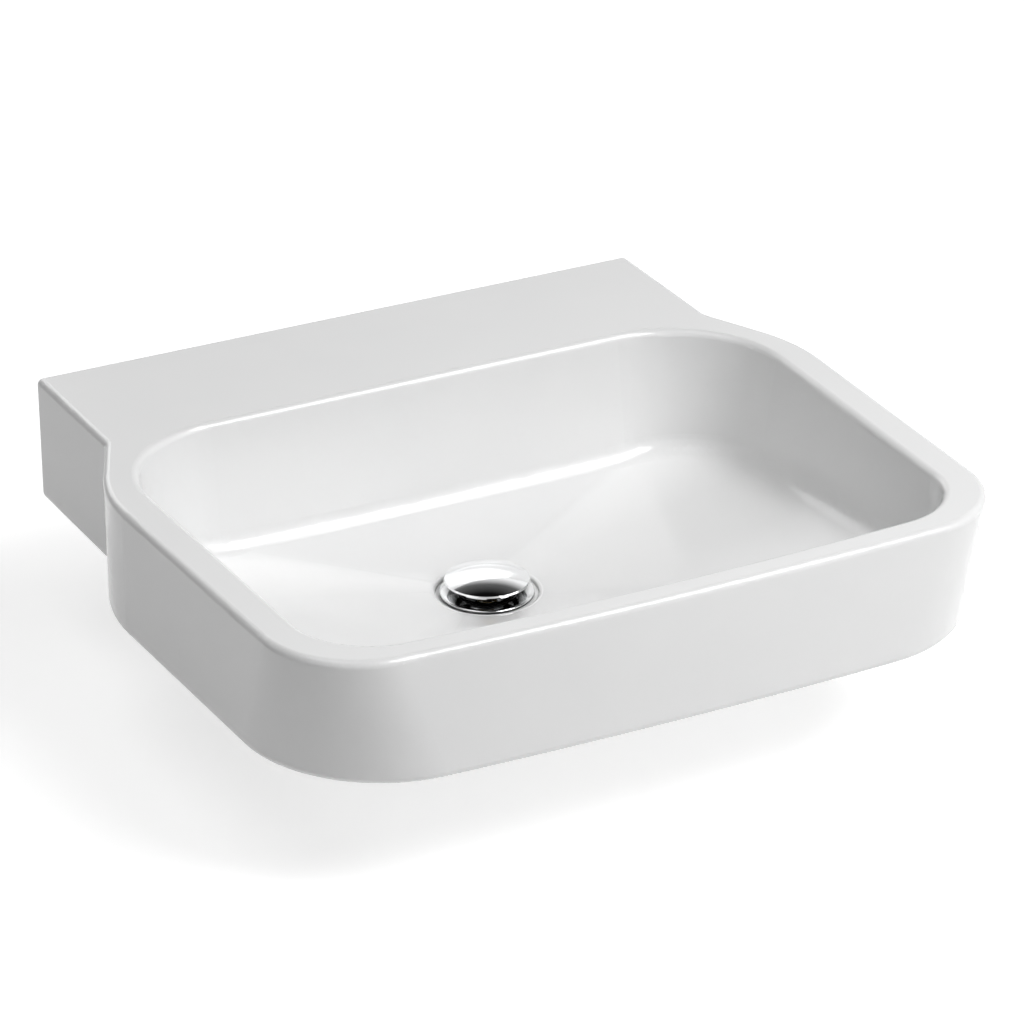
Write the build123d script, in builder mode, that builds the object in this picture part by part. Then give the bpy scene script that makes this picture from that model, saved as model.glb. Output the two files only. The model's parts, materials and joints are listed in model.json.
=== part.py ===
"""Countertop basin: a wide glazed bowl with a narrower back ledge, and its push-to-open waste.

All sizes are in millimetres. X runs across the basin, Y towards the wall, Z up.
The origin is where the wall, the countertop and the basin's plane of symmetry meet.
The skirt's ground foot rests on the countertop at Z 0. The bowl's belly and the waste
go down through the cut-out in the countertop.
"""
import math
import os

from build123d import *

os.makedirs("parts", exist_ok=True)

# Ceramic body: overall
basin_width = 600.0
basin_depth = 560.0
skirt_height = 104.0

# Ceramic body: plan
ledge_width = 524.0
ledge_length = 134.0
waist_angle = 25.0
side_taper = 1.3
front_bow = 10.0
ledge_corner_radius = 4.0
waist_radius = 12.0
shoulder_radius = 150.0
front_corner_top = 76.0
front_corner_foot = 116.0
foot_draft = 1.0

# Ceramic body: edges
top_edge_radius = 5.0
foot_edge_radius = 6.0
mouth_edge_radius = 6.0
wall_pad_inset = 14.0

# Bowl
side_rim = 28.5
front_rim = 23.0
ledge_to_bowl = 140.5
back_bowl_corner = 92.0
front_bowl_corner = 62.0
wall_draft = 9.0
crease_level = 4.0
floor_rise = 5.5
floor_radius = 18.0
dish_radius = 43.5

# Ceramic thicknesses and the hollow underside
bowl_wall = 12.0
skirt_wall = 14.0
ledge_roof = 13.0
rim_roof = 38.0
rib_thickness = 9.0
rib_spacing = 250.0
hollow_radius = 8.0
ledge_hollow_edge = 4.0

# Waste place and seat in the ceramic
waste_to_wall = 257.0
waste_level = -28.0
seat_radius = 40.0
seat_depth = 3.0
seat_lip_radius = 2.5
waste_hole_radius = 23.0
boss_radius = 44.0
boss_thickness = 18.0

# Waste fitting
flange_radius = 37.0
flange_thickness = 3.2
flange_edge = 1.6
flange_fillet = 0.8
gasket_thickness = 1.5
gasket_inset = 2.5
tail_radius = 20.95
tail_bore = 18.2
tail_length = 78.0
trap_thread_length = 36.0
neck_radius = 19.6
neck_height = 3.0
thread_lead = 1.0
mouth_radius = 24.0
mouth_depth = 5.0
bridge_height = 9.0
bridge_drop = 44.0
bridge_rib = 3.2
bridge_ribs = 3
rib_overrun = 0.5
hub_radius = 8.5

# Fixing under the bowl
sleeve_gap = 0.3
thread_gap = 0.08
under_washer_radius = 33.0
under_washer_thickness = 6.0
under_washer_edge = 1.5
slip_washer_thickness = 1.6
backnut_flats = 58.0
backnut_height = 9.0
backnut_bevel = 6.0
backnut_bevel_rise = 3.0

# Plug
cap_radius = 33.5
cap_edge = 2.4
cap_lead = 0.8
cap_rise = 5.0
dome_reach = 0.6
dome_share = 0.66
cap_recess = 1.0
cap_lip = 3.0
lift = 6.0
closed_gap = 0.5
collar_radius = 11.8
collar_height = 4.2
seal_radius = 20.6
seal_height = 3.6
seal_gap = 0.3
seal_fit = 0.2
locknut_flats = 10.0
locknut_height = 3.0

# Click cartridge
cartridge_radius = 7.5
cartridge_bore = 5.7
cartridge_floor = 2.0
cartridge_length = 30.0
stub_radius = 5.0
stub_length = 8.0
guide_height = 2.4
stem_radius = 3.0
stem_thread_depth = 1.8
shaft_radius = 4.0
slide_gap = 0.09
key_count = 4
key_depth = 0.95
key_angle = 34.0
track_angle = 40.0
track_length = 10.5
tooth_height = 1.0
tooth_width = 2.0
plunger_head = 3.2
rotor_height = 4.0
rotor_bore = 2.4
rotor_gap = 0.3
spring_wire = 0.7
spring_radius = 3.5
spring_coils = 7

# How close an edge lies to the size it is chosen by
near = 0.01
seat_search = 0.5

# The share of its wall that a large corner may take
corner_share = 0.95

# Worked-out places
half_width = basin_width / 2
half_ledge = ledge_width / 2
waste_place = (0.0, -waste_to_wall)
seat_level = waste_level - seat_depth
flange_base = seat_level + gasket_thickness
flange_top = flange_base + flange_thickness
boss_foot = waste_level - boss_thickness
tail_foot = flange_top - tail_length
neck_foot = tail_foot + trap_thread_length
bridge_top = flange_top - bridge_drop
cap_foot = flange_top + closed_gap + lift
cap_under = cap_foot + cap_recess
collar_foot = cap_under - collar_height
locknut_foot = collar_foot - locknut_height
stem_top = cap_under + stem_thread_depth - sleeve_gap
cartridge_top = bridge_top + cartridge_length
guide_foot = cartridge_top - guide_height
spring_seat = bridge_top + cartridge_floor
head_top = guide_foot - rotor_gap
head_foot = head_top - plunger_head
rotor_top = head_foot - tooth_height - rotor_gap
rotor_foot = rotor_top - rotor_height
washer_foot = boss_foot - under_washer_thickness
slip_foot = washer_foot - slip_washer_thickness
backnut_foot = slip_foot - backnut_height
key_radius = cartridge_bore - slide_gap
core_radius = cartridge_bore - key_depth - slide_gap


def corner(plan, x, y):
    """The vertex of a plan sketch nearest to a point."""
    return plan.vertices().sort_by_distance((x, y))[0]


def body_plan(level, inset, front_corner, back_y=0.0):
    """Plan of the body: straight ledge, waist, shoulder, tapering side and bowed front."""
    turn = math.radians(waist_angle)
    taper = math.radians(side_taper)
    shoulder_y = -ledge_length - (half_width - half_ledge) / math.tan(turn)
    front_y = -(basin_depth - front_bow)
    front_x = half_width - (shoulder_y - front_y) * math.tan(taper)
    slant = (half_width - half_ledge) / math.sin(turn) - waist_radius * math.tan(turn / 2)
    shoulder = min(shoulder_radius, corner_share * slant / math.tan((turn + taper) / 2))
    with BuildSketch(Plane.XY.offset(level)) as plan:
        with BuildLine():
            for side in (1, -1):
                Polyline(
                    (0, back_y),
                    (side * half_ledge, back_y),
                    (side * half_ledge, -ledge_length),
                    (side * half_width, shoulder_y),
                    (side * front_x, front_y),
                )
            ThreePointArc((front_x, front_y), (0, -basin_depth), (-front_x, front_y))
        make_face()
        for side in (1, -1):
            fillet(corner(plan, side * half_ledge, -ledge_length), waist_radius)
            fillet(corner(plan, side * half_width, shoulder_y), shoulder)
            fillet(corner(plan, side * front_x, front_y), front_corner)
            fillet(corner(plan, side * half_ledge, back_y), ledge_corner_radius)
        if inset:
            offset(amount=-inset, kind=Kind.INTERSECTION, mode=Mode.REPLACE)
    return plan.sketch


def bowl_plan(level, grow=0.0):
    """Plan of the bowl's mouth, a rounded rectangle that follows the outside."""
    taper = math.radians(side_taper)
    back_x = half_width - side_rim
    front_y = -(basin_depth - front_bow - front_rim)
    front_x = back_x - (-front_y - ledge_to_bowl) * math.tan(taper)
    with BuildSketch(Plane.XY.offset(level)) as plan:
        with BuildLine():
            for side in (1, -1):
                Polyline(
                    (0, -ledge_to_bowl),
                    (side * back_x, -ledge_to_bowl),
                    (side * front_x, front_y),
                )
            ThreePointArc((front_x, front_y), (0, front_y - front_bow), (-front_x, front_y))
        make_face()
        for side in (1, -1):
            fillet(corner(plan, side * back_x, -ledge_to_bowl), back_bowl_corner)
            fillet(corner(plan, side * front_x, front_y), front_bowl_corner)
        if grow:
            offset(amount=grow, kind=Kind.ARC, mode=Mode.REPLACE)
    return plan.sketch


def bowl_form(grow=0.0):
    """The bowl's inside as a solid. Grown by the wall thickness, it is its outside."""
    rise = math.radians(floor_rise)
    crease = Plane(
        origin=(0, -ledge_to_bowl, crease_level - grow),
        z_dir=(0, math.sin(rise), math.cos(rise)),
    )
    with BuildPart() as form:
        extrude(bowl_plan(skirt_height, grow), amount=-(skirt_height - waste_level), taper=wall_draft)
        split(bisect_by=crease, keep=Keep.TOP)
        wall_foot = form.faces().sort_by(Axis.Z)[0]
        with BuildSketch(Plane.XY.offset(waste_level - grow)) as dish:
            with Locations(waste_place):
                Circle(dish_radius)
        loft([wall_foot, dish.sketch.face()], ruled=True)
        fillet(wall_foot.edges(), floor_radius)
    return form.part


def disc(radius, low, high, mode=Mode.ADD):
    """Round disc on the waste's axis, added to the piece that is open."""
    with BuildSketch(Plane.XY.offset(low)) as face:
        with Locations(waste_place):
            Circle(radius)
    extrude(face.sketch, amount=high - low, mode=mode)


def hexagon(flats, low, high):
    """Six-sided disc on the waste's axis, with this width across its flats."""
    with BuildSketch(Plane.XY.offset(low)) as face:
        with Locations(waste_place):
            RegularPolygon(flats / 2, 6, major_radius=False)
    extrude(face.sketch, amount=high - low)


def turned(points, mode=Mode.ADD):
    """Solid turned about the waste's axis from (radius, level) points."""
    with BuildSketch(Plane.XZ.offset(waste_to_wall)) as face:
        with BuildLine():
            Polyline(*points, close=True)
        make_face()
    revolve(face.sketch, axis=Axis((0, -waste_to_wall, 0), (0, 0, 1)), mode=mode)


def on_circle(radius, angle):
    """Point at this angle on a circle about the waste's axis."""
    return (radius * math.cos(angle), radius * math.sin(angle) - waste_to_wall)


def keys(inner, outer, angle, low, high, turn=0.0, mode=Mode.ADD):
    """Evenly spaced curved keys between two radii, each this many degrees wide."""
    half = math.radians(angle / 2)
    far = 2 * outer
    with BuildSketch(Plane.XY.offset(low)) as face:
        with Locations(waste_place):
            Circle(outer)
            Circle(inner, mode=Mode.SUBTRACT)
        with BuildSketch(mode=Mode.INTERSECT):
            for step in range(key_count):
                middle = math.radians(turn) + step * 2 * math.pi / key_count
                with BuildLine():
                    Polyline(
                        waste_place,
                        on_circle(far, middle - half),
                        on_circle(far, middle + half),
                        close=True,
                    )
                make_face()
    extrude(face.sketch, amount=high - low, mode=mode)


def crown(root, height, turn):
    """Ring of pointed teeth on the plunger or the rotor. A negative height points down."""
    for step in range(2 * key_count):
        angle = turn + step * 180.0 / key_count
        place = Plane(origin=(0, -waste_to_wall, root), z_dir=(1, 0, 0), x_dir=(0, 1, 0))
        with BuildSketch(place.rotated((0, 0, angle))) as tooth:
            with BuildLine():
                Polyline((-tooth_width / 2, 0), (tooth_width / 2, 0), (0, height), close=True)
            make_face()
        extrude(tooth.sketch, amount=core_radius)


# The glazed ceramic body
bowl_outside = bowl_form(bowl_wall)
bowl_inside = bowl_form()

with BuildPart() as hollow:
    skirt_inside = body_plan(0, foot_draft + skirt_wall, front_corner_foot)
    extrude(skirt_inside, amount=skirt_height - rim_roof, taper=foot_draft)
    with BuildSketch(Plane.XY.offset(skirt_height - rim_roof - hollow_radius)) as ledge_inside:
        with Locations((0, -(ledge_to_bowl - bowl_wall + skirt_wall) / 2)):
            Rectangle(ledge_width - 2 * skirt_wall - hollow_radius, ledge_to_bowl - bowl_wall - skirt_wall)
        fillet(ledge_inside.vertices(), hollow_radius)
    extrude(ledge_inside.sketch, amount=rim_roof - ledge_roof + hollow_radius)
    fillet(hollow.faces().sort_by(Axis.Z)[-1].edges(), ledge_hollow_edge)
    with BuildSketch(Plane.XY.offset(foot_edge_radius)) as rib_plan:
        with Locations((0, -ledge_to_bowl / 2)):
            with GridLocations(rib_spacing, 0, 2, 1):
                Rectangle(rib_thickness, 2 * ledge_to_bowl)
    extrude(rib_plan.sketch, amount=skirt_height, mode=Mode.SUBTRACT)
    add(bowl_outside, mode=Mode.SUBTRACT)

with BuildPart() as basin_body:
    foot_plan = body_plan(0, foot_draft, front_corner_foot, back_y=foot_draft)
    top_plan = body_plan(skirt_height, 0, front_corner_top)
    loft([foot_plan, top_plan], ruled=True)
    fillet(basin_body.faces().sort_by(Axis.Z)[-1].edges(), top_edge_radius)
    fillet(basin_body.faces().sort_by(Axis.Z)[0].edges(), foot_edge_radius)
    with Locations((0, -skirt_wall / 2, foot_edge_radius / 2)):
        Box(ledge_width - 2 * wall_pad_inset, skirt_wall, foot_edge_radius)
    add(hollow.part, mode=Mode.SUBTRACT)
    add(bowl_outside)
    disc(boss_radius, boss_foot, waste_level)
    add(bowl_inside, mode=Mode.SUBTRACT)
    mouth_edges = basin_body.faces().sort_by(Axis.Z)[-1].inner_wires()[0].edges()
    fillet(mouth_edges, mouth_edge_radius)
    disc(seat_radius, seat_level, waste_level + seat_depth, mode=Mode.SUBTRACT)
    lip = basin_body.edges().filter_by(GeomType.CIRCLE).filter_by(
        lambda e: abs(e.radius - seat_radius) < near and abs(e.center().Z - waste_level) < seat_search
    )
    fillet(lip, seat_lip_radius)
    disc(waste_hole_radius, boss_foot - bowl_wall, seat_level, mode=Mode.SUBTRACT)

# The waste: flange, threaded tail and the bridge that carries the click cartridge
with BuildPart() as waste_body:
    turned(
        (
            (mouth_radius, flange_top),
            (flange_radius, flange_base + flange_edge),
            (flange_radius, flange_base),
            (tail_radius, flange_base),
            (tail_radius, neck_foot + neck_height),
            (neck_radius, neck_foot + neck_height),
            (neck_radius, neck_foot),
            (tail_radius, neck_foot),
            (tail_radius, tail_foot + thread_lead),
            (tail_radius - thread_lead, tail_foot),
            (tail_bore, tail_foot),
            (tail_bore, flange_top - mouth_depth),
        )
    )
    flange_edges = waste_body.edges().filter_by(
        lambda e: e.geom_type == GeomType.CIRCLE and abs(e.radius - flange_radius) < near
    )
    fillet(flange_edges.sort_by(Axis.Z)[-1], flange_fillet)
    disc(hub_radius, bridge_top - bridge_height, bridge_top)
    with BuildSketch(Plane.XY.offset(bridge_top - bridge_height)) as bridge:
        with Locations(waste_place):
            Circle(tail_bore + sleeve_gap)
        with BuildSketch(mode=Mode.INTERSECT):
            with Locations(waste_place):
                with PolarLocations(tail_bore / 2, bridge_ribs, start_angle=90):
                    Rectangle(tail_bore + 2 * rib_overrun, bridge_rib)
    extrude(bridge.sketch, amount=bridge_height)
    disc(stub_radius + thread_gap, bridge_top - bridge_height, bridge_top, mode=Mode.SUBTRACT)

with BuildPart() as flange_gasket:
    disc(flange_radius - gasket_inset, seat_level, flange_base)
    disc(tail_radius + sleeve_gap, seat_level, flange_base, mode=Mode.SUBTRACT)

# Under the bowl: rubber washer, slip washer and backnut
with BuildPart() as under_washer:
    disc(under_washer_radius, washer_foot, boss_foot)
    fillet(under_washer.edges().filter_by(GeomType.CIRCLE).sort_by(Axis.Z)[0], under_washer_edge)
    disc(tail_radius + sleeve_gap, washer_foot, boss_foot, mode=Mode.SUBTRACT)

with BuildPart() as slip_washer:
    disc(under_washer_radius - under_washer_edge, slip_foot, washer_foot)
    disc(tail_radius + sleeve_gap, slip_foot, washer_foot, mode=Mode.SUBTRACT)

with BuildPart() as backnut:
    hexagon(backnut_flats, backnut_foot, slip_foot)
    with BuildSketch(Plane.XZ.offset(waste_to_wall)) as bevel:
        with BuildLine():
            Polyline(
                (0, backnut_foot),
                (backnut_flats / 2, backnut_foot),
                (backnut_flats / 2 + backnut_bevel, backnut_foot + backnut_bevel_rise),
                (backnut_flats / 2 + backnut_bevel, slip_foot),
                (0, slip_foot),
                close=True,
            )
        make_face()
    revolve(bevel.sketch, axis=Axis((0, -waste_to_wall, 0), (0, 0, 1)), mode=Mode.INTERSECT)
    disc(tail_radius + thread_gap, backnut_foot, slip_foot, mode=Mode.SUBTRACT)

# The plug: domed cap, its seal and the locknut under it
with BuildPart() as plug_cap:
    with BuildSketch(Plane.XZ.offset(waste_to_wall)) as cap_section:
        with BuildLine():
            dome = ThreePointArc(
                (0, cap_foot + cap_edge + cap_rise),
                (cap_radius * dome_reach, cap_foot + cap_edge + cap_rise * dome_share),
                (cap_radius - cap_lead, cap_foot + cap_edge),
            )
            Polyline(
                dome @ 1,
                (cap_radius, cap_foot + cap_edge / 2),
                (cap_radius - cap_lead, cap_foot),
                (cap_radius - cap_lip, cap_foot),
                (cap_radius - cap_lip, cap_under),
                (collar_radius, cap_under),
                (collar_radius, collar_foot),
                (0, collar_foot),
                dome @ 0,
            )
        make_face()
    revolve(cap_section.sketch, axis=Axis((0, -waste_to_wall, 0), (0, 0, 1)))
    disc(stem_radius + thread_gap, collar_foot, cap_under + stem_thread_depth, mode=Mode.SUBTRACT)

with BuildPart() as plug_seal:
    disc(seal_radius, cap_under - seal_height, cap_under)
    chamfer(plug_seal.edges().filter_by(GeomType.CIRCLE).sort_by(Axis.Z)[0], seal_gap)
    disc(collar_radius + seal_fit, cap_under - seal_height, cap_under, mode=Mode.SUBTRACT)

with BuildPart() as plug_locknut:
    hexagon(locknut_flats, locknut_foot, collar_foot)
    disc(stem_radius + thread_gap, locknut_foot, collar_foot, mode=Mode.SUBTRACT)

# The click cartridge: housing with its tracks, bush, plunger, indexing rotor and spring
with BuildPart() as cartridge_housing:
    disc(cartridge_radius, bridge_top, guide_foot)
    disc(stub_radius, bridge_top - stub_length, bridge_top)
    disc(cartridge_bore, spring_seat, guide_foot, mode=Mode.SUBTRACT)
    keys(
        cartridge_bore - key_depth,
        cartridge_bore + slide_gap,
        360.0 / key_count - track_angle,
        guide_foot - track_length,
        guide_foot,
        turn=180.0 / key_count,
    )

with BuildPart() as guide_bush:
    disc(cartridge_radius, guide_foot, cartridge_top)
    disc(shaft_radius + slide_gap, guide_foot, cartridge_top, mode=Mode.SUBTRACT)
    chamfer(guide_bush.edges().filter_by(GeomType.CIRCLE).sort_by(Axis.Z)[-1], slide_gap)

with BuildPart() as plunger:
    disc(stem_radius, locknut_foot, stem_top)
    disc(shaft_radius, head_top, locknut_foot)
    disc(core_radius, head_foot, head_top)
    keys(core_radius - key_depth, key_radius, key_angle, head_foot, head_top)
    crown(head_foot, -tooth_height, turn=0.0)

with BuildPart() as click_rotor:
    disc(core_radius, rotor_foot, rotor_top)
    keys(core_radius - key_depth, key_radius, key_angle, rotor_foot, rotor_top)
    crown(rotor_top, tooth_height, turn=90.0 / key_count)
    disc(rotor_bore, rotor_foot, rotor_top + tooth_height, mode=Mode.SUBTRACT)

with BuildPart() as click_spring:
    rise = rotor_foot - spring_seat - spring_wire - 2 * thread_gap
    coil_foot = (0, -waste_to_wall, spring_seat + spring_wire / 2 + thread_gap)
    with BuildLine() as coil:
        spiral = Helix(
            pitch=rise / spring_coils,
            height=rise,
            radius=spring_radius,
            center=coil_foot,
        )
    with BuildSketch(Plane(origin=spiral @ 0, z_dir=spiral % 0)) as wire:
        Circle(spring_wire / 2)
    sweep(wire.sketch, path=coil.line, is_frenet=True)

pieces = {
    "basin_body": basin_body,
    "waste_body": waste_body,
    "flange_gasket": flange_gasket,
    "under_washer": under_washer,
    "slip_washer": slip_washer,
    "backnut": backnut,
    "plug_cap": plug_cap,
    "plug_seal": plug_seal,
    "plug_locknut": plug_locknut,
    "cartridge_housing": cartridge_housing,
    "guide_bush": guide_bush,
    "plunger": plunger,
    "click_rotor": click_rotor,
    "click_spring": click_spring,
}
for name, piece in pieces.items():
    piece.part.label = name
    export_step(piece.part, f"parts/{name}.step")
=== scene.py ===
import json
import math

import bpy
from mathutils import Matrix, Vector


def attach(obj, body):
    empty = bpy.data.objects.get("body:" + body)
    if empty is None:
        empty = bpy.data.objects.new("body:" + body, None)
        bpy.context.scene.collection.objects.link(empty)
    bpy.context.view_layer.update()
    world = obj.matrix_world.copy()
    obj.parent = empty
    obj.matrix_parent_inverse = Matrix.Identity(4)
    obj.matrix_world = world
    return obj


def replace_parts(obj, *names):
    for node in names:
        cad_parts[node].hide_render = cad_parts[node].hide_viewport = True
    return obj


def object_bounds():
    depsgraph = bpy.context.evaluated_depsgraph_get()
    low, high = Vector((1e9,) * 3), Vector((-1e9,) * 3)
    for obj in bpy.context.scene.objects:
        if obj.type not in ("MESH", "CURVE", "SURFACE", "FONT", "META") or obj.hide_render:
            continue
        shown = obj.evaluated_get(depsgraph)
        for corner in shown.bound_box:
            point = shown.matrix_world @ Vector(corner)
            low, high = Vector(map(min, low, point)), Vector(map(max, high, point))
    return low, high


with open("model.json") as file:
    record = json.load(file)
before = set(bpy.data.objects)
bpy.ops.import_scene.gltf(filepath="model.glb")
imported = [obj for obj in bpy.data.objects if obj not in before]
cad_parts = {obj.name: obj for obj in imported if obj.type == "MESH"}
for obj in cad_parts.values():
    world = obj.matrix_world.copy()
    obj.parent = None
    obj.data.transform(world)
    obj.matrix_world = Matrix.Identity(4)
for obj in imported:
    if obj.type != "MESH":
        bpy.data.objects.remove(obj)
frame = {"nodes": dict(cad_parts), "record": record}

cad_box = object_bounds()
nodes = frame["nodes"]

# Where the waste's axis stands. All lengths in this file are in metres
WASTE_Y = -0.257

# Most of a noise lies between these values
NOISE_LOW = 0.3
NOISE_HIGH = 0.7


def new_material(name):
    """A new node material, with its tree and its shader."""
    material = bpy.data.materials.new(name)
    material.use_nodes = True
    tree = material.node_tree
    return material, tree, tree.nodes["Principled BSDF"]


def grey(level):
    """A grey colour."""
    return (level, level, level)


def feed(tree, value, socket):
    """Links a socket to an input, or sets the input to a number or a colour."""
    if isinstance(value, bpy.types.NodeSocket):
        tree.links.new(value, socket)
    else:
        socket.default_value = value


def noise(tree, scale, detail=3.0, stretch=(1.0, 1.0, 1.0)):
    """Noise over the object's own coordinates. Scale is in waves per metre."""
    place = tree.nodes.new("ShaderNodeTexCoord")
    spread = tree.nodes.new("ShaderNodeMapping")
    spread.inputs["Scale"].default_value = stretch
    texture = tree.nodes.new("ShaderNodeTexNoise")
    texture.inputs["Scale"].default_value = scale
    texture.inputs["Detail"].default_value = detail
    texture.inputs["Roughness"].default_value = 0.5
    tree.links.new(place.outputs["Object"], spread.inputs["Vector"])
    tree.links.new(spread.outputs["Vector"], texture.inputs["Vector"])
    return texture.outputs["Fac"]


def ramp(tree, value, *stops):
    """Colour ramp through (position, colour) stops, in rising order."""
    node = tree.nodes.new("ShaderNodeValToRGB")
    elements = node.color_ramp.elements
    elements[0].position = stops[0][0]
    elements[1].position = stops[-1][0]
    for position, _ in stops[1:-1]:
        elements.new(position)
    for element, (_, colour) in zip(elements, stops):
        element.color = (*colour, 1.0)
    tree.links.new(value, node.inputs["Fac"])
    return node.outputs["Color"]


def clouded(tree, grain, low, high):
    """Two close colours, mixed by a noise."""
    return ramp(tree, grain, (NOISE_LOW, low), (NOISE_HIGH, high))


def span(tree, value, low, high, start=0.0, end=1.0):
    """Value mapped from start..end to low..high."""
    node = tree.nodes.new("ShaderNodeMapRange")
    node.inputs["From Min"].default_value = start
    node.inputs["From Max"].default_value = end
    node.inputs["To Min"].default_value = low
    node.inputs["To Max"].default_value = high
    tree.links.new(value, node.inputs["Value"])
    return node.outputs["Result"]


def maths(tree, operation, *values):
    """One step of arithmetic on sockets and numbers."""
    node = tree.nodes.new("ShaderNodeMath")
    node.operation = operation
    for value, socket in zip(values, node.inputs):
        feed(tree, value, socket)
    return node.outputs["Value"]


def along_z(tree, vector):
    """The Z part of a vector."""
    split = tree.nodes.new("ShaderNodeSeparateXYZ")
    tree.links.new(vector, split.inputs["Vector"])
    return split.outputs["Z"]


def colour_mix(tree, factor, off, on, blend="MIX"):
    """Colour that goes from off to on with a factor. Each may be a socket or a value."""
    mix = tree.nodes.new("ShaderNodeMix")
    mix.data_type = "RGBA"
    mix.blend_type = blend
    feed(tree, factor, mix.inputs["Factor"])
    feed(tree, off, mix.inputs["A"])
    feed(tree, on, mix.inputs["B"])
    return mix.outputs["Result"]


def ray_mask(tree, *kinds):
    """1 for these kinds of ray, 0 for the others."""
    path = tree.nodes.new("ShaderNodeLightPath")
    mask = path.outputs[kinds[0]]
    for kind in kinds[1:]:
        mask = maths(tree, "MAXIMUM", mask, path.outputs[kind])
    return mask


def bump(tree, shader, height, distance):
    """Bump on the shader's normal, at full strength."""
    node = tree.nodes.new("ShaderNodeBump")
    node.inputs["Distance"].default_value = distance
    node.inputs["Strength"].default_value = 1.0
    tree.links.new(height, node.inputs["Height"])
    tree.links.new(node.outputs["Normal"], shader.inputs["Normal"])


def simple_material(name, low, high, rough, scale, metallic=0.0, relief=0.0, stretch=(1.0, 1.0, 1.0)):
    """Two close colours and a varied gloss, from noise."""
    material, tree, shader = new_material(name)
    grain = noise(tree, scale, stretch=stretch)
    tree.links.new(clouded(tree, grain, low, high), shader.inputs["Base Color"])
    tree.links.new(span(tree, grain, *rough, NOISE_LOW, NOISE_HIGH), shader.inputs["Roughness"])
    shader.inputs["Metallic"].default_value = metallic
    if relief:
        bump(tree, shader, grain, relief)
    return material


# Glazed ceramic. The ground foot is the flat band at z 0 that faces down
GLAZE = ((0.865, 0.867, 0.868), (0.885, 0.886, 0.885))
BISQUE = ((0.62, 0.59, 0.54), (0.72, 0.69, 0.63))
GLAZE_ROUGHNESS = 0.17
BISQUE_ROUGHNESS = 0.8
GLAZE_IOR = 1.52
GLAZE_WAVE = 0.00012
FOOT_BAND = 0.0004
FACES_DOWN = -0.9


def ceramic_material():
    """White glaze with a soft wave, and an unglazed ground foot."""
    material, tree, shader = new_material("glazed_ceramic")
    glaze = clouded(tree, noise(tree, 9.0, detail=2.0), *GLAZE)
    bisque = clouded(tree, noise(tree, 700.0), *BISQUE)
    place = tree.nodes.new("ShaderNodeTexCoord")
    foot = maths(tree, "COMPARE", along_z(tree, place.outputs["Object"]), 0.0, FOOT_BAND)
    facing = tree.nodes.new("ShaderNodeNewGeometry")
    down = maths(tree, "LESS_THAN", along_z(tree, facing.outputs["Normal"]), FACES_DOWN)
    ground = maths(tree, "MULTIPLY", foot, down)
    tree.links.new(colour_mix(tree, ground, glaze, bisque), shader.inputs["Base Color"])
    rough = span(tree, ground, GLAZE_ROUGHNESS, BISQUE_ROUGHNESS)
    tree.links.new(rough, shader.inputs["Roughness"])
    shader.inputs["IOR"].default_value = GLAZE_IOR
    shader.inputs["Coat Weight"].default_value = 0.2
    shader.inputs["Coat Roughness"].default_value = 0.1
    bump(tree, shader, noise(tree, 22.0, detail=1.0), GLAZE_WAVE)
    return material


# Chrome. In the waste's narrow gaps, shade is painted into its colour
CHROME = ((0.88, 0.885, 0.89), (0.92, 0.925, 0.93))
CHROME_ROUGHNESS = (0.04, 0.09)
CHROME_MARKS = 0.000002
# How far the painted shade reaches, and its darkest and unshaded colours
PAINTED_SHADE_REACH = 0.014
GAP_PAINTED_SHADE = grey(0.03)
GAP_UNSHADED = grey(1.0)


def chrome_material(name, shade_reach=0.0):
    """Bright chrome with faint polishing marks, and painted shade in gaps narrower than this length.
    """
    material, tree, shader = new_material(name)
    film = noise(tree, 60.0, detail=4.0)
    colour = clouded(tree, film, *CHROME)
    if shade_reach:
        # Painted shade: the colour darkens where other surfaces lie close, as in the waste's gaps
        gap_occlusion = tree.nodes.new("ShaderNodeAmbientOcclusion")
        gap_occlusion.samples = 8
        gap_occlusion.inputs["Distance"].default_value = shade_reach
        painted_shade = ramp(tree, gap_occlusion.outputs["AO"], (0.35, GAP_PAINTED_SHADE), (0.85, GAP_UNSHADED))
        colour = colour_mix(tree, 1.0, colour, painted_shade, blend="MULTIPLY")
    tree.links.new(colour, shader.inputs["Base Color"])
    rough = span(tree, film, *CHROME_ROUGHNESS, NOISE_LOW, NOISE_HIGH)
    tree.links.new(rough, shader.inputs["Roughness"])
    shader.inputs["Metallic"].default_value = 1.0
    bump(tree, shader, noise(tree, 900.0, detail=2.0), CHROME_MARKS)
    return material


# Two colours, roughness and waves per metre of the rubber, fibre, plastic and metal pieces
LOOKS = {
    "rubber": ((0.02, 0.02, 0.021), (0.035, 0.035, 0.036), (0.55, 0.75), 260.0),
    "seal_rubber": ((0.014, 0.014, 0.015), (0.024, 0.024, 0.025), (0.38, 0.5), 200.0),
    "fibre": ((0.70, 0.69, 0.64), (0.80, 0.79, 0.75), (0.6, 0.8), 500.0),
    "brass": ((0.60, 0.42, 0.17), (0.68, 0.50, 0.22), (0.26, 0.42), 90.0),
    "acetal": ((0.80, 0.80, 0.77), (0.86, 0.86, 0.84), (0.3, 0.42), 150.0),
    "steel": ((0.50, 0.51, 0.52), (0.60, 0.61, 0.62), (0.2, 0.34), 80.0),
    "spring_steel": ((0.42, 0.43, 0.45), (0.52, 0.53, 0.55), (0.25, 0.4), 400.0),
}

# What else some of them have. The stretch packs the noise along the axis, as turning marks
EXTRAS = {
    "rubber": {"relief": 0.00005},
    "fibre": {"relief": 0.00003},
    "brass": {"metallic": 1.0, "relief": 0.00001, "stretch": (1.0, 1.0, 30.0)},
    "steel": {"metallic": 1.0, "relief": 0.000006, "stretch": (1.0, 1.0, 40.0)},
    "spring_steel": {"metallic": 1.0},
}

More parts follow.
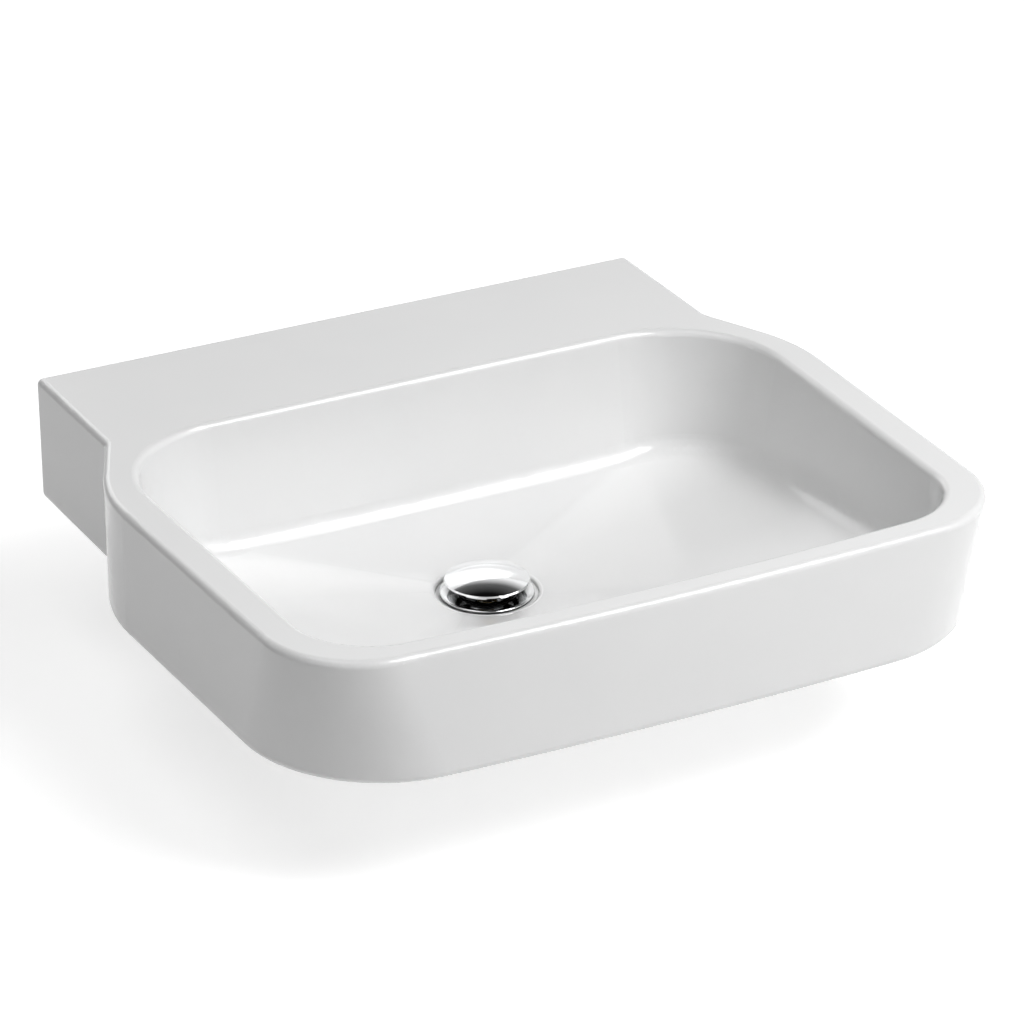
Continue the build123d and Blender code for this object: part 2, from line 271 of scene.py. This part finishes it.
MATERIALS = {
    "glazed_ceramic": ceramic_material(),
    "chrome": chrome_material("chrome"),
    # The waste's chrome has painted shade in its narrow gaps
    "waste_chrome": chrome_material("waste_chrome", shade_reach=PAINTED_SHADE_REACH),
}
for name, look in LOOKS.items():
    MATERIALS[name] = simple_material(name, *look, **EXTRAS.get(name, {}))

# Each solid gets its finish, and an even shading over its long thin facets
for part in frame["record"]["subparts"]:
    solid = nodes[part["node"]]
    solid.data.materials.clear()
    solid.data.materials.append(MATERIALS[part["material_slot"]])
    even = solid.modifiers.new("even_shading", "WEIGHTED_NORMAL")
    even.keep_sharp = True


def mesh_piece(name, points, faces, material, body, smooth=40.0):
    """A new piece from points and faces that rides on a body. Smooth is in degrees."""
    mesh = bpy.data.meshes.new(name)
    mesh.from_pydata(points, [], faces)
    mesh.validate()
    mesh.update()
    piece = bpy.data.objects.new(name, mesh)
    bpy.context.scene.collection.objects.link(piece)
    mesh.materials.append(MATERIALS[material])
    for face in mesh.polygons:
        face.use_smooth = True
    mesh.set_sharp_from_angle(angle=math.radians(smooth))
    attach(piece, body)
    return piece


def ring_points(rings):
    """Points round the waste's axis, from rings that give (radius, level) at each step."""
    points = []
    for ring in rings:
        for step, (radius, level) in enumerate(ring):
            turn = 2 * math.pi * step / len(ring)
            points.append((radius * math.cos(turn), WASTE_Y + radius * math.sin(turn), level))
    return points


def ring_faces(count, around):
    """Quads between rings of points, and from the last ring back to the first."""
    faces = []
    for row in range(count):
        low = row * around
        high = ((row + 1) % count) * around
        for step in range(around):
            after = (step + 1) % around
            faces.append((high + step, high + after, low + after, low + step))
    return faces


# Waste: flange and tail with its real thread, 11 threads to the inch
WASTE_TOP = -0.0263
WASTE_BASE = -0.0295
WASTE_FOOT = -0.1043
FLANGE_R = 0.037
MOUTH_R = 0.024
BORE_R = 0.0182
THREAD_R = 0.02095
NECK_R = 0.0196
NECK_TOP = -0.0653
NECK_FOOT = -0.0683
INCH = 0.0254
THREAD_PITCH = INCH / 11
THREAD_DEPTH = 0.00148
THREAD_FLAT = 0.1
THREAD_FADE = 0.6 * THREAD_PITCH
THREAD_LEAD = 0.001
AROUND = 120
ROWS_PER_PITCH = 8

# Radius and drop below the top, from the bore up to the mouth and out to the flange's edge
FLANGE_PROFILE = (
    (BORE_R, 0.005),
    (0.0205, 0.003),
    (0.0226, 0.0013),
    (MOUTH_R, 0.0002),
    (MOUTH_R + 0.0004, 0.0),
    (0.0285, 0.0005),
    (0.033, 0.0011),
    (0.0358, 0.0015),
    (0.0366, 0.0018),
    (FLANGE_R, 0.0023),
    (FLANGE_R, WASTE_TOP - WASTE_BASE),
)


def thread_radius(level, turn, fade):
    """Radius of a 55 degree thread with rounded crests. Turn is a share of the full circle."""
    phase = (level / THREAD_PITCH + turn) % 1.0
    tooth = (abs(2 * phase - 1) - THREAD_FLAT) / (1 - 2 * THREAD_FLAT)
    rounded = 0.5 - 0.5 * math.cos(math.pi * min(1.0, max(0.0, tooth)))
    return THREAD_R - THREAD_DEPTH * rounded * fade


def thread_rings(top, foot):
    """Rings down a threaded length. The thread fades out at both ends."""
    count = int((top - foot) / THREAD_PITCH * ROWS_PER_PITCH)
    rings = []
    for row in range(count + 1):
        level = top + (foot - top) * row / count
        fade = min(1.0, min(top - level, level - foot) / THREAD_FADE)
        rings.append([(thread_radius(level, step / AROUND, fade), level) for step in range(AROUND)])
    return rings


def waste_shell():
    """Flange and tail as one turned skin, with a thread above and below a plain neck."""
    rings = [[(radius, WASTE_TOP - drop)] * AROUND for radius, drop in FLANGE_PROFILE]
    rings += thread_rings(WASTE_BASE, NECK_TOP)
    rings += [[(NECK_R, level)] * AROUND for level in (NECK_TOP, NECK_FOOT)]
    rings += thread_rings(NECK_FOOT, WASTE_FOOT + THREAD_LEAD)
    rings += [[(radius, WASTE_FOOT)] * AROUND for radius in (THREAD_R - THREAD_LEAD, BORE_R)]
    faces = ring_faces(len(rings), AROUND)
    return mesh_piece("waste_shell", ring_points(rings), faces, "waste_chrome", "basin")


# Bridge in the waste: a hub for the click cartridge on three ribs
HUB_R = 0.0085
HUB_HOLE_R = 0.00508
BRIDGE_TOP = -0.0703
BRIDGE_FOOT = -0.0793
BRIDGE_EDGE = 0.0005
HUB_AROUND = 72
RIBS = 3
RIB_HALF = 0.0016
RIB_OVERRUN = 0.0003


def rib_outline():
    """Cross-section of a rib with its corners taken off, as (side, level) points."""
    inside = RIB_HALF - BRIDGE_EDGE
    low = BRIDGE_FOOT + BRIDGE_EDGE
    high = BRIDGE_TOP - BRIDGE_EDGE
    lower = [(-RIB_HALF, low), (-inside, BRIDGE_FOOT), (inside, BRIDGE_FOOT), (RIB_HALF, low)]
    upper = [(RIB_HALF, high), (inside, BRIDGE_TOP), (-inside, BRIDGE_TOP), (-RIB_HALF, high)]
    return lower + upper


def waste_bridge():
    """Hub with its hole, and three ribs out to the bore, softened at their edges."""
    hub_flat = HUB_R - BRIDGE_EDGE
    section = [(HUB_HOLE_R, BRIDGE_TOP), (hub_flat, BRIDGE_TOP), (HUB_R, BRIDGE_TOP - BRIDGE_EDGE)]
    section += [(HUB_R, BRIDGE_FOOT + BRIDGE_EDGE), (hub_flat, BRIDGE_FOOT), (HUB_HOLE_R, BRIDGE_FOOT)]
    points = ring_points([[corner] * HUB_AROUND for corner in section])
    faces = ring_faces(len(section), HUB_AROUND)
    outline = rib_outline()
    size = len(outline)
    for rib in range(RIBS):
        turn = math.radians(90 + 360 / RIBS * rib)
        along = Vector((math.cos(turn), math.sin(turn), 0.0))
        across = Vector((-math.sin(turn), math.cos(turn), 0.0))
        near = len(points)
        far = near + size
        for reach in (hub_flat, BORE_R + RIB_OVERRUN):
            for side, level in outline:
                place = along * reach + across * side
                points.append((place.x, WASTE_Y + place.y, level))
        for step in range(size):
            after = (step + 1) % size
            faces.append((near + step, near + after, far + after, far + step))
        faces.append(tuple(near + step for step in reversed(range(size))))
        faces.append(tuple(far + step for step in range(size)))
    return mesh_piece("waste_bridge", points, faces, "waste_chrome", "basin", smooth=30.0)


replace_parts(waste_shell(), "waste_body")
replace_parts(waste_bridge(), "waste_body")

# Rays that see the background. The others only carry light
SEEING = ("Is Camera Ray", "Is Glossy Ray", "Is Transmission Ray")
WHITE = (1.0, 1.0, 1.0, 1.0)

# Floor: pale, with the basin's shadow
CENTRE = Vector((0.0, -0.28, 0.05))
FLOOR_SPAN = 9.0
FLOOR_GAP = 0.001
FLOOR_GREY = 0.86
FLOOR_GLOW = 0.66
floor_place = (CENTRE.x, CENTRE.y, cad_box[0][2] - FLOOR_GAP)
bpy.ops.mesh.primitive_plane_add(size=FLOOR_SPAN, location=floor_place)
floor = bpy.context.object
floor.name = "floor"
material, tree, shader = new_material("floor")
shader.inputs["Base Color"].default_value = (*grey(FLOOR_GREY), 1.0)
shader.inputs["Roughness"].default_value = 0.9
shader.inputs["Specular IOR Level"].default_value = 0.1
shader.inputs["Emission Color"].default_value = WHITE
glow = span(tree, ray_mask(tree, *SEEING), 0.0, FLOOR_GLOW)
tree.links.new(glow, shader.inputs["Emission Strength"])
floor.data.materials.append(material)

# World: white where it is seen, with a dark ceiling in reflections, and soft grey as light
SKY_LOW = 0.02
SKY_HIGH = 0.01
world = bpy.data.worlds.new("studio")
bpy.context.scene.world = world
world.use_nodes = True
tree = world.node_tree
place = tree.nodes.new("ShaderNodeTexCoord")
height = along_z(tree, place.outputs["Generated"])
sky = ramp(tree, height, (0.35, grey(SKY_LOW)), (0.95, grey(SKY_HIGH)))
ceiling = ramp(tree, height, (0.58, grey(1.0)), (0.72, grey(0.12)), (0.86, grey(0.004)))
reflected = colour_mix(tree, ray_mask(tree, "Is Camera Ray"), ceiling, WHITE)
background = colour_mix(tree, ray_mask(tree, *SEEING), sky, reflected)
tree.links.new(background, tree.nodes["Background"].inputs["Color"])

# Lamps
LAMP_DISTANCE = 2.8


def softbox(name, azimuth, elevation, width, height, power):
    """Rectangular area light on a sphere round the basin, turned to its centre.

    Azimuth and elevation are in degrees. Azimuth 0 is in front, and 90 is on the right.
    """
    turn = math.radians(azimuth)
    rise = math.radians(elevation)
    away = Vector((math.sin(turn) * math.cos(rise), -math.cos(turn) * math.cos(rise), math.sin(rise)))
    lamp = bpy.data.lights.new(name, "AREA")
    lamp.shape = "RECTANGLE"
    lamp.size = width
    lamp.size_y = height
    lamp.energy = power
    holder = bpy.data.objects.new(name, lamp)
    holder.location = CENTRE + away * LAMP_DISTANCE
    holder.rotation_euler = (-away).to_track_quat("-Z", "Y").to_euler()
    bpy.context.scene.collection.objects.link(holder)


softbox("key", 30, 50, 1.6, 1.2, 54.0)
softbox("front_right", 45, 30, 1.6, 1.2, 6.7)
softbox("top", -90, 68, 2.0, 1.6, 14.5)
softbox("left", -70, 35, 1.4, 1.2, 0.8)
softbox("back", 182, 25, 1.4, 1.0, 6.0)
softbox("crease", 62, 62, 0.7, 0.7, 5.5)

# Camera at the photograph's angle, from a fit to the basin's outline
CAMERA_PLACE = (-1.56961, -3.28042, 1.69739)
CAMERA_YAW = -27.76
CAMERA_PITCH = -25.96
CAMERA_LENS = 174.08
CAMERA_SENSOR = 36.0
yaw = math.radians(CAMERA_YAW)
pitch = math.radians(CAMERA_PITCH)
forward = Vector((-math.sin(yaw) * math.cos(pitch), math.cos(yaw) * math.cos(pitch), math.sin(pitch)))
lens = bpy.data.cameras.new("camera")
lens.sensor_width = CAMERA_SENSOR
lens.lens = CAMERA_LENS
lens.clip_end = 50.0
camera = bpy.data.objects.new("camera", lens)
camera.location = CAMERA_PLACE
camera.rotation_euler = forward.to_track_quat("-Z", "Y").to_euler()
bpy.context.scene.collection.objects.link(camera)
bpy.context.scene.camera = camera
bpy.context.scene.view_settings.view_transform = "Standard"
